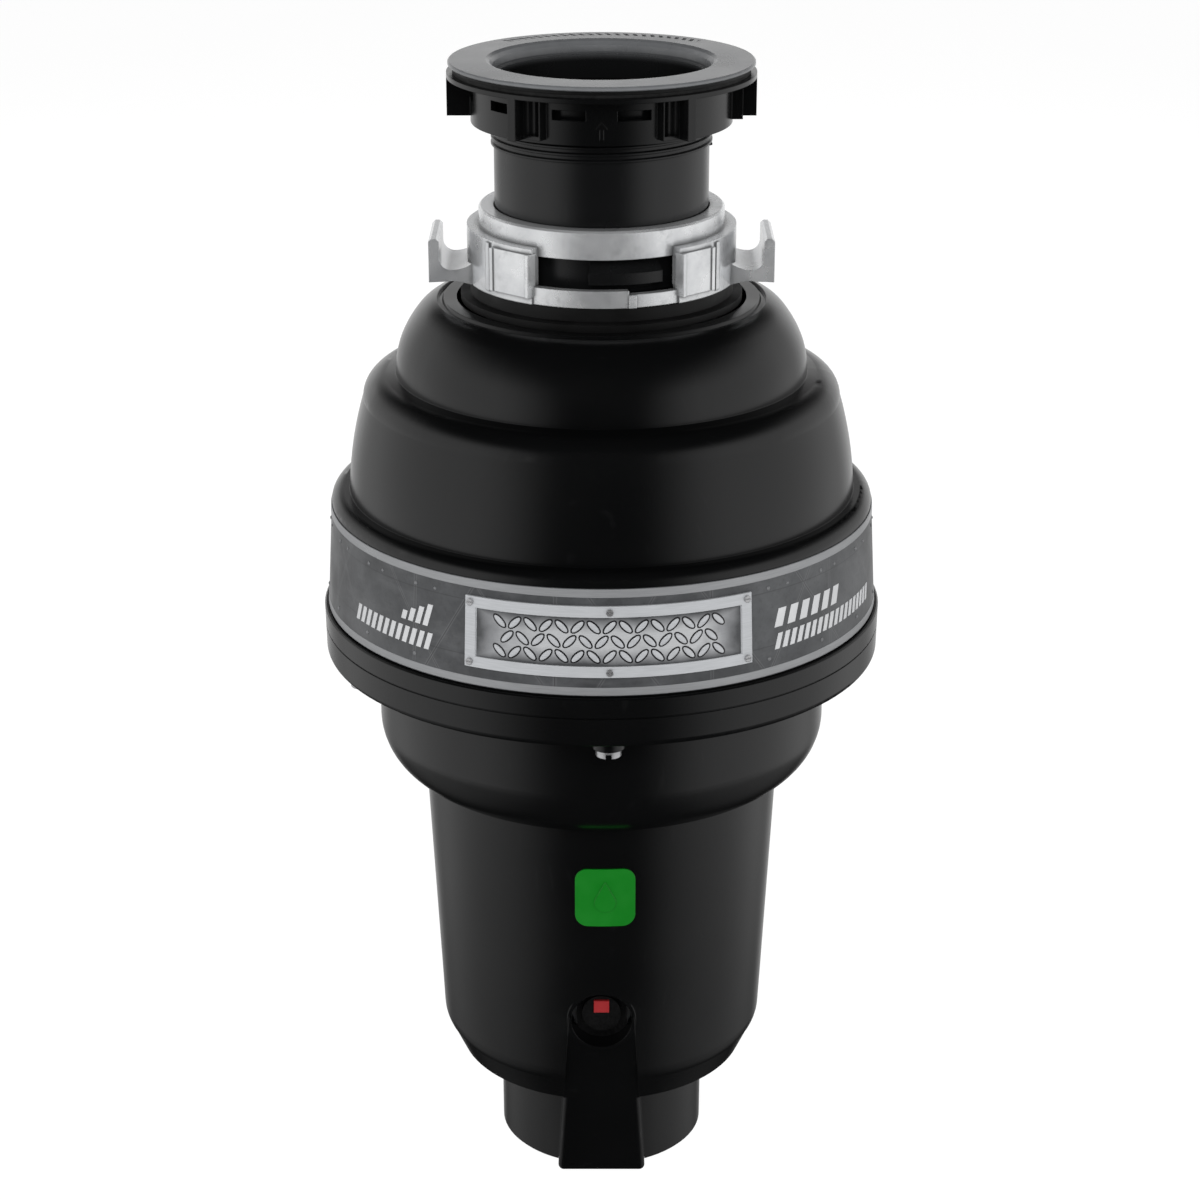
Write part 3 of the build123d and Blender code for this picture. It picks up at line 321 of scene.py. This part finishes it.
def speckled(name, dark, light, scale, roughness=0.7, grain=0.1 * MM):
    """Sintered, fibrous or foamed material: speckled all through."""
    shader = Shader(name)
    speck = shader.cells(scale)
    cloud = shader.noise(scale / 6, 3)
    colour = shader.mix(shader.math("MULTIPLY", speck, 1.4), dark, light)
    colour = shader.mix(shader.math("MULTIPLY", cloud, 0.4), colour, dark)
    rough = shader.range(cloud, 0.3, 0.7, roughness - 0.1, roughness + 0.1)
    shader.set(Base_Color=colour, Roughness=rough, Normal=shader.bump(speck, grain, 0.6))
    return shader


def wound_copper(name):
    """Enamelled wire lying in tight turns."""
    shader = Shader(name)
    wave = shader.tree.nodes.new("ShaderNodeTexWave")
    wave.wave_type = "RINGS"
    wave.rings_direction = "Z"
    shader.wire(shader.place, wave.inputs["Vector"])
    wave.inputs["Scale"].default_value = 260
    wave.inputs["Distortion"].default_value = 1.5
    colour = shader.mix(wave.outputs["Fac"], (0.19, 0.055, 0.015), (0.62, 0.23, 0.08))
    normal = shader.bump(wave.outputs["Fac"], 0.3 * MM, 0.8)
    rough = shader.range(shader.noise(90), 0.3, 0.7, 0.25, 0.42)
    shader.set(Base_Color=colour, Metallic=1.0, Roughness=rough, Normal=normal)
    return shader


def glossy_label(name, dark, light):
    """Glossy printed or moulded colour with slight depth."""
    shader = Shader(name)
    cloud = shader.noise(120, 4)
    fine = shader.noise(1200, 2)
    colour = shader.mix(cloud, dark, light)
    rough = shader.range(cloud, 0.3, 0.7, 0.28, 0.4)
    normal = shader.bump(fine, 0.03 * MM, 0.4, shader.soft_edges(0.3 * MM))
    shader.set(Base_Color=colour, Roughness=rough, Normal=normal)
    return shader


def printed_band(name):
    """Metal-look label: dark worn plates with seams, scratches and rubbed patches."""
    shader = Shader(name)
    x, y, z = shader.position()
    azimuth = shader.math("ARCTAN2", x, shader.math("MULTIPLY", y, -1.0))
    patches = shader.noise(30, 6, 0.62)
    smear = shader.noise(40, 5, 0.6, shader.stretched(1, 1, 3.5))
    fine = shader.noise(420, 4, 0.7)
    base = shader.ramp(
        patches, (0.3, (0.03, 0.031, 0.033)), (0.5, (0.05, 0.052, 0.055)), (0.7, (0.078, 0.081, 0.085)))
    base = shader.mix(shader.range(smear, 0.5, 0.72, 0.0, 0.5), base, (0.1, 0.102, 0.106))
    base = shader.mix(shader.range(fine, 0.5, 0.75, 0.0, 0.4), base, (0.02, 0.02, 0.022))
    along = shader.math("MULTIPLY", azimuth, LABEL_R)
    low = shader.math("SUBTRACT", z, LABEL_MIDDLE)
    for lean, half_pitch, start in UPRIGHT_SEAMS:
        line = shader.math("ADD", along, shader.math("MULTIPLY", low, lean))
        seam = shader.math("PINGPONG", shader.math("ADD", line, start), half_pitch)
        lit = shader.range(seam, 0.4 * MM, 0.9 * MM, 0.3, 0.0)
        gap = shader.range(seam, 0.0, 0.4 * MM, 0.75, 0.0)
        base = shader.mix(lit, base, (0.17, 0.172, 0.178))
        base = shader.mix(gap, base, (0.008, 0.008, 0.009))
    for height in LEVEL_SEAMS:
        edge = shader.math("ABSOLUTE", shader.math("SUBTRACT", z, height))
        base = shader.mix(shader.range(edge, 0.0, 0.3 * MM, 0.5, 0.0), base, (0.012, 0.012, 0.013))
    rough = shader.range(patches, 0.3, 0.7, 0.42, 0.3)
    normal = shader.bump(fine, 0.05 * MM, 0.5)
    shader.set(Base_Color=base, Metallic=0.1, Roughness=rough, Normal=normal)
    return shader


def plate_field(name):
    """Brushed plate with a painted highlight in the middle and painted shade towards its four edges."""
    shader = Shader(name)
    x, y, z = shader.position()
    azimuth = shader.math("ARCTAN2", x, shader.math("MULTIPLY", y, -1.0))
    sideways = shader.math("DIVIDE", shader.math("SUBTRACT", azimuth, FIELD_AZIMUTH), FIELD_HALF_ANGLE)
    upward = shader.math("DIVIDE", shader.math("SUBTRACT", z, FIELD_MIDDLE), FIELD_HALF_HEIGHT)
    sideways = shader.math("ABSOLUTE", sideways)
    upward = shader.math("ABSOLUTE", upward)
    # Painted highlight and shade: the colour runs from bright in the middle to dark at the field's edges.
    far = shader.math("MAXIMUM", shader.math("POWER", sideways, 5.0), shader.math("POWER", upward, 2.0))
    cloud = shader.noise(90, 5)
    lines = shader.noise(150, 3, place=shader.stretched(1, 1, 26))
    shade = shader.math("ADD", far, shader.range(cloud, 0.3, 0.7, -0.16, 0.16))
    base = shader.ramp(
        shade, (0.1, (0.5, 0.51, 0.52)), (0.45, (0.27, 0.275, 0.285)), (0.95, (0.045, 0.047, 0.05)))
    base = shader.mix(shader.math("MULTIPLY", lines, 0.35), base, (0.12, 0.122, 0.126))
    shader.set(Base_Color=base, Metallic=0.25, Roughness=shader.range(cloud, 0.3, 0.7, 0.3, 0.42))
    shader.set(Normal=shader.bump(lines, 0.04 * MM, 0.5))
    return shader


def pale_floor(name):
    """White paper that is lit evenly from below, as on a light table."""
    shader = Shader(name)
    cloud = shader.noise(3, 4)
    colour = shader.mix(cloud, (0.13, 0.13, 0.13), (0.14, 0.14, 0.14))
    shader.set(Base_Color=colour, Roughness=shader.range(cloud, 0.3, 0.7, 0.85, 0.95))
    shader.set(Emission_Color=(0.94, 0.94, 0.94, 1), Emission_Strength=1.0)
    return shader


SHADERS = (
    moulded_plastic("black_plastic", (0.0014, 0.0015, 0.0016), (0.0024, 0.0025, 0.0026)),
    flange_plastic("flange_plastic"),
    soft_rubber("rubber", (0.002, 0.002, 0.002), (0.006, 0.006, 0.006)),
    speckled("fibre", (0.004, 0.004, 0.004), (0.012, 0.012, 0.012), 500),
    cast_metal("cast_zinc", (0.6, 0.61, 0.625), (0.84, 0.85, 0.86), 0.74, (0.18, 0.3), 0.05 * MM),
    cast_metal("cast_aluminium", (0.36, 0.365, 0.37), (0.56, 0.565, 0.57), 0.6, (0.4, 0.6)),
    brushed_metal("stainless", (0.4, 0.4, 0.41), (0.66, 0.66, 0.67)),
    cast_metal("nickel_cast", (0.3, 0.3, 0.31), (0.5, 0.5, 0.5), 0.8, (0.4, 0.55)),
    brushed_metal("screw_steel", (0.38, 0.38, 0.39), (0.56, 0.56, 0.57), 0.78, (0.14, 0.28)),
    brushed_metal("motor_steel", (0.3, 0.31, 0.32), (0.5, 0.51, 0.52), 0.8, (0.3, 0.45)),
    brushed_metal("lamination_steel", (0.1, 0.1, 0.1), (0.32, 0.32, 0.33), 0.8, (0.35, 0.5)),
    wound_copper("copper"),
    speckled("carbon", (0.0012, 0.0012, 0.0012), (0.004, 0.004, 0.0042), 700, 0.5),
    speckled("ferrite", (0.02, 0.02, 0.022), (0.08, 0.08, 0.085), 350, 0.55),
    moulded_plastic("moulded_grey", (0.05, 0.05, 0.055), (0.09, 0.09, 0.095), (0.4, 0.55)),
    printed_band("label_foil"),
    plate_field("plate_field"),
    brushed_metal("stripe_foil", (0.2, 0.205, 0.21), (0.32, 0.325, 0.335), 0.35, (0.25, 0.4), (1, 1, 26)),
    glossy_label("rivet_grey", (0.1, 0.102, 0.106), (0.17, 0.173, 0.178)),
    brushed_metal("plate_steel", (0.32, 0.33, 0.34), (0.5, 0.51, 0.53), 0.2, (0.25, 0.4), (1, 1, 26)),
    glossy_label("print_grey", (0.42, 0.425, 0.435), (0.56, 0.565, 0.575)),
    # Near-black for the painted shadows round the nameplate's treads.
    glossy_label("shadow_dark", (0.006, 0.006, 0.007), (0.012, 0.012, 0.013)),
    glossy_label("green_label", (0.0, 0.12, 0.004), (0.0, 0.16, 0.006)),
    glossy_label("green_steel", (0.01, 0.13, 0.03), (0.02, 0.25, 0.05)),
    glossy_label("red_plastic", (0.2, 0.008, 0.01), (0.3, 0.014, 0.016)),
    glossy_label("wire_insulation", (0.5, 0.5, 0.47), (0.72, 0.72, 0.68)),
    speckled("foam", (0.35, 0.34, 0.3), (0.75, 0.73, 0.68), 260, 0.85, 0.6 * MM),
)
MATERIALS = {shader.name: shader.material for shader in SHADERS}


def dress_cad_nodes():
    """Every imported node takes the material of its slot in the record."""
    for subpart in frame["record"]["subparts"]:
        node = NODES[subpart["node"]]
        node.data.materials.clear()
        node.data.materials.append(MATERIALS[subpart["material_slot"]])


# ---------------------------------------------------------------- mesh helpers
def add_piece(name, build, slot, look=None):
    """Build a closed mesh as a piece of the housing, in the finish of its look, or of its slot when no
    look is given.
    """
    work = bmesh.new()
    build(work)
    bmesh.ops.recalc_face_normals(work, faces=work.faces[:])
    mesh = bpy.data.meshes.new(name)
    work.to_mesh(mesh)
    work.free()
    mesh.materials.append(MATERIALS[look or slot])
    piece = bpy.data.objects.new(name, mesh)
    SCENE.collection.objects.link(piece)
    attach(piece, "housing")


# ---------------------------------------------------------------- label band
band_low, band_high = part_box("label_band")
BAND_BOTTOM = band_low.z
BAND_TOP = band_high.z
BAND_MIDDLE = (BAND_BOTTOM + BAND_TOP) / 2
BAND_FOOT_R = band_high.x
BAND_HEAD_R = BAND_FOOT_R - 2.3 * MM
STRIPE_STEPS = 256
STRIPE_PROUD = 0.15 * MM
SHEET_STEP = 1.5                # degrees
STUD_SUNK = -0.1 * MM


def band_radius(z):
    """Outside radius of the label band at a height."""
    share = (BAND_TOP - z) / (BAND_TOP - BAND_BOTTOM)
    return BAND_HEAD_R + share * (BAND_FOOT_R - BAND_HEAD_R)


def on_band(azimuth, z, proud=0.0):
    """A point on the band's face, at an azimuth in degrees from the front towards +X."""
    angle = math.radians(azimuth)
    radius = band_radius(z) + proud
    return Vector((radius * math.sin(angle), -radius * math.cos(angle), z))


def band_loop(work, bottom, top):
    """A thin raised ring right round the band, with eased corners."""
    sunk = -0.2 * MM
    ease = 0.15 * MM
    shoulder = 0.6 * STRIPE_PROUD
    section = [(bottom, sunk), (bottom, shoulder), (bottom + ease, STRIPE_PROUD)]
    section += [(top - ease, STRIPE_PROUD), (top, shoulder), (top, sunk)]
    rings = []
    for index in range(STRIPE_STEPS):
        azimuth = 360 * index / STRIPE_STEPS
        rings.append([work.verts.new(on_band(azimuth, z, out)) for z, out in section])
    for ring, following in zip(rings, rings[1:] + rings[:1]):
        for k in range(len(section)):
            after = (k + 1) % len(section)
            work.faces.new((ring[k], ring[after], following[after], following[k]))


def band_sheet(work, start, end, bottom, top, low, high):
    """A curved rectangular plate on the band, from azimuth start to end."""
    columns = round((end - start) / SHEET_STEP)
    rows = []
    for index in range(columns + 1):
        azimuth = start + (end - start) * index / columns
        corners = ((bottom, low), (bottom, high), (top, high), (top, low))
        rows.append([work.verts.new(on_band(azimuth, z, out)) for z, out in corners])
    for row, following in zip(rows, rows[1:]):
        for k in range(4):
            after = (k + 1) % 4
            work.faces.new((row[k], row[after], following[after], following[k]))
    work.faces.new(rows[0])
    work.faces.new(rows[-1])


def band_stud(work, azimuth, z, outline, low, high, crown=0.0):
    """A small raised shape; outline is a list of (across, up), crown domes its face."""
    def placed(across, up, out):
        turn = math.degrees(across / band_radius(z))
        return work.verts.new(on_band(azimuth + turn, z + up, out))

    foot = [placed(across, up, low) for across, up in outline]
    rim = [placed(across, up, high) for across, up in outline]
    share = 0.55
    inner = [placed(share * across, share * up, high + 0.8 * crown) for across, up in outline]
    tip = placed(0, 0, high + crown)
    for k in range(len(outline)):
        after = (k + 1) % len(outline)
        work.faces.new((foot[k], foot[after], rim[after], rim[k]))
        work.faces.new((rim[k], rim[after], inner[after], inner[k]))
        work.faces.new((inner[k], inner[after], tip))
    work.faces.new(foot)


def oval(half_length, half_width, lean=0.0, points=16):
    """An ellipse outline, leaning by an angle in degrees from level."""
    turn = math.radians(lean)
    outline = []
    for index in range(points):
        around = 2 * math.pi * index / points
        u = half_length * math.cos(around)
        v = half_width * math.sin(around)
        across = u * math.cos(turn) - v * math.sin(turn)
        up = u * math.sin(turn) + v * math.cos(turn)
        outline.append((across, up))
    return outline


def slanted_bar(width, height):
    """A parallelogram outline that leans towards +azimuth."""
    lean = 0.3 * height
    half = width / 2
    return [
        (-half - lean / 2, -height / 2),
        (half - lean / 2, -height / 2),
        (half + lean / 2, height / 2),
        (-half + lean / 2, height / 2),
    ]


# Azimuths and pitches are in degrees.
PLATE_AZIMUTH = 1.55
PLATE_HALF_ANGLE = 26.6
PLATE_Z = BAND_MIDDLE + 0.5 * MM
FIELD_SUNK = 0.1 * MM
FIELD_PROUD = 0.5 * MM
TREAD_PITCH = 3.1
TREAD_COUNTS = (15, 14, 15)
TREAD_ROWS = (-5.6 * MM, 0.0, 5.6 * MM)
TREAD_LEAN = 45


def tread_places():
    """The azimuth, height and lean of every stud of the nameplate's tread pattern."""
    for row, (count, up) in enumerate(zip(TREAD_COUNTS, TREAD_ROWS)):
        for column in range(count):
            azimuth = PLATE_AZIMUTH + TREAD_PITCH * (column - (count - 1) / 2)
            lean = TREAD_LEAN if (row + column) % 2 else -TREAD_LEAN
            yield azimuth, PLATE_Z + up, lean


def nameplate_field(work):
    start = PLATE_AZIMUTH - PLATE_HALF_ANGLE
    end = PLATE_AZIMUTH + PLATE_HALF_ANGLE
    bottom = PLATE_Z - FIELD_HALF_HEIGHT
    top = PLATE_Z + FIELD_HALF_HEIGHT
    band_sheet(work, start, end, bottom, top, FIELD_SUNK, FIELD_PROUD)


def nameplate_treads(work):
    for azimuth, z, lean in tread_places():
        outline = oval(2.75 * MM, 1.0 * MM, lean)
        band_stud(work, azimuth, z, outline, FIELD_PROUD - 0.1 * MM, FIELD_PROUD + 0.18 * MM, 0.25 * MM)


# Near-black ovals a little wider than the treads: painted shadow round each stud.
def nameplate_tread_shadows(work):
    for azimuth, z, lean in tread_places():
        outline = oval(3.35 * MM, 1.6 * MM, lean)
        band_stud(work, azimuth, z, outline, FIELD_PROUD - 0.2 * MM, FIELD_PROUD + 0.05 * MM)


def bar_group(work, start, pitch, heights, foot):
    """Slanted bars on one base line, at a pitch in degrees."""
    width = 0.6 * math.radians(pitch) * BAND_FOOT_R
    for index, height in enumerate(heights):
        outline = slanted_bar(width, height)
        azimuth = start + index * pitch
        band_stud(work, azimuth, foot + height / 2, outline, STUD_SUNK, 0.1 * MM)


LOWER_BARS_Z = BAND_BOTTOM + 9.5 * MM


def label_bars_left(work):
    """A level row of bars, with four rising bars above its end."""
    level = [6.6 * MM] * 12
    rising = [(3.5 + 1.7 * step) * MM for step in range(4)]
    bar_group(work, start=-58.5, pitch=2.0, heights=level, foot=LOWER_BARS_Z)
    bar_group(work, start=-43.0, pitch=2.1, heights=rising, foot=BAND_BOTTOM + 18.5 * MM)


def label_bars_right(work):
    """A long row of narrow bars, with six broad bars above its start."""
    narrow = [6.0 * MM] * 18
    broad = [7.0 * MM] * 6
    bar_group(work, start=37.5, pitch=2.0, heights=narrow, foot=LOWER_BARS_Z)
    bar_group(work, start=38.0, pitch=3.4, heights=broad, foot=BAND_BOTTOM + 18.0 * MM)


def label_stripe_top(work):
    band_loop(work, BAND_TOP - 3.3 * MM, BAND_TOP - 0.2 * MM)


def label_stripe_bottom(work):
    band_loop(work, BAND_BOTTOM + 0.2 * MM, BAND_BOTTOM + 3.2 * MM)


RIVET_PITCH = 15                # degrees
RIVET_START = 5                 # degrees
RIVET_FREE_ANGLE = 33           # degrees either side of the nameplate's middle


def label_rivets(work):
    """Small rivet heads in pairs along the label's plates, except round the nameplate."""
    large = oval(0.75 * MM, 0.75 * MM)
    small = oval(0.6 * MM, 0.6 * MM)
    lower_z = BAND_BOTTOM + 6.5 * MM
    upper_z = BAND_MIDDLE + 13.5 * MM
    for step in range(360 // RIVET_PITCH):
        azimuth = RIVET_START + RIVET_PITCH * step
        signed = (azimuth + 180) % 360 - 180
        if abs(signed - PLATE_AZIMUTH) < RIVET_FREE_ANGLE:
            continue
        band_stud(work, azimuth, lower_z, large, STUD_SUNK, 0.12 * MM, 0.3 * MM)
        band_stud(work, azimuth, upper_z, large, STUD_SUNK, 0.12 * MM, 0.3 * MM)
        band_stud(work, azimuth + 5, upper_z, small, STUD_SUNK, 0.1 * MM, 0.25 * MM)


dress_cad_nodes()
add_piece("label_stripe_top", label_stripe_top, "plate_steel", "stripe_foil")
add_piece("label_stripe_bottom", label_stripe_bottom, "plate_steel", "stripe_foil")
add_piece("nameplate_field", nameplate_field, "plate_steel", "plate_field")
add_piece("nameplate_treads", nameplate_treads, "plate_steel")
add_piece("nameplate_tread_shadows", nameplate_tread_shadows, "plate_steel", "shadow_dark")
add_piece("label_bars_left", label_bars_left, "label_foil", "print_grey")
add_piece("label_bars_right", label_bars_right, "label_foil", "print_grey")
add_piece("label_rivets", label_rivets, "label_foil", "rivet_grey")


def brush_spring_coil(side):
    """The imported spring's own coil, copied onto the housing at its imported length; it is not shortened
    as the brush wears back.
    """
    node_name = f"brush_spring_{side}"
    coil = bpy.data.objects.new(f"coil_{side}", NODES[node_name].data.copy())
    SCENE.collection.objects.link(coil)
    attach(coil, "housing")
    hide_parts(node_name)
    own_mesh(coil)


brush_spring_coil("right")
brush_spring_coil("left")


# ---------------------------------------------------------------- studio
# Strengths of the room's light; the room is what the gloss mirrors.
WALL_LIGHT = 1.25
SIDE_LIGHT = 0.95
ROOM_LIGHT = 0.012

FLOOR_HALF_SIZE = 14
FLOOR_GAP = 0.2 * MM
LIGHT_TARGET = Vector((0, 0, 0.24))

# The photograph's viewpoint: no roll, looking down by an angle in degrees, from straight ahead.
CAMERA_PLACE = (-0.0006, -1.03874, 0.63659)
CAMERA_DOWN = 21.145
CAMERA_LENS = 83.92
CAMERA_SENSOR = 36


def studio_floor():
    work = bmesh.new()
    bmesh.ops.create_grid(work, x_segments=2, y_segments=2, size=FLOOR_HALF_SIZE)
    mesh = bpy.data.meshes.new("floor")
    work.to_mesh(mesh)
    work.free()
    mesh.materials.append(pale_floor("floor_paper").material)
    floor = bpy.data.objects.new("floor", mesh)
    floor.location.z = CAD_BOX[0].z - FLOOR_GAP
    floor.visible_glossy = False
    SCENE.collection.objects.link(floor)


def studio_world():
    """A dim room, soft grey to both sides and with a low bright wall behind the object.

    The x, y and z in it are those of the direction that a ray leaves in.
    """
    world = bpy.data.worlds.new("studio")
    SCENE.world = world
    world.use_nodes = True
    room = Nodes(world.node_tree, "Generated")
    x, y, z = room.position()
    behind = room.range(y, 0.68, 0.99, 0.0, WALL_LIGHT, "SMOOTHSTEP")
    below_top = room.range(z, 0.2, 0.36, 1.0, 0.0, "SMOOTHSTEP")
    above_foot = room.range(z, -0.66, -0.46, 0.0, 1.0, "SMOOTHSTEP")
    wall = room.math("MULTIPLY", room.math("MULTIPLY", behind, below_top), above_foot)
    sideways = room.range(room.math("ABSOLUTE", x), 0.3, 0.9, 0.0, SIDE_LIGHT, "SMOOTHSTEP")
    below_top = room.range(z, 0.3, 0.75, 1.0, 0.0, "SMOOTHSTEP")
    above_foot = room.range(z, -0.54, -0.46, 0.4, 1.0, "SMOOTHSTEP")
    sides = room.math("MULTIPLY", room.math("MULTIPLY", sideways, below_top), above_foot)
    strength = room.math("ADD", room.math("ADD", wall, sides), ROOM_LIGHT)
    light = room.tree.nodes.new("ShaderNodeBackground")
    room.wire(strength, light.inputs["Strength"])
    output = room.tree.nodes.new("ShaderNodeOutputWorld")
    room.wire(light.outputs[0], output.inputs["Surface"])


def softbox(name, place, width, height, power):
    """A rectangular lamp, in metres and watts, that faces the object and isn't mirrored in it."""
    lamp = bpy.data.lights.new(name, "AREA")
    lamp.shape = "RECTANGLE"
    lamp.size = width
    lamp.size_y = height
    lamp.energy = power
    holder = bpy.data.objects.new(name, lamp)
    holder.location = place
    aim = LIGHT_TARGET - Vector(place)
    holder.rotation_euler = aim.to_track_quat("-Z", "Y").to_euler()
    holder.visible_glossy = False
    SCENE.collection.objects.link(holder)


def studio_lights():
    """Fills that light only dull surfaces; the glossy ones mirror the room."""
    softbox("front_fill", (0, -1.7, 1.2), width=1.5, height=1.2, power=40)
    softbox("left_fill", (-1.3, 1.2, 1.0), width=0.9, height=0.9, power=16)
    softbox("right_fill", (1.3, 1.2, 1.0), width=0.9, height=0.9, power=16)


def studio_camera():
    data = bpy.data.cameras.new("camera")
    data.sensor_width = CAMERA_SENSOR
    data.lens = CAMERA_LENS
    camera = bpy.data.objects.new("camera", data)
    camera.location = CAMERA_PLACE
    camera.rotation_euler = (math.radians(90 - CAMERA_DOWN), 0, 0)
    SCENE.collection.objects.link(camera)
    SCENE.camera = camera


SCENE.view_settings.view_transform = "Standard"
studio_floor()
studio_world()
studio_lights()
studio_camera()

bpy.context.view_layer.update()
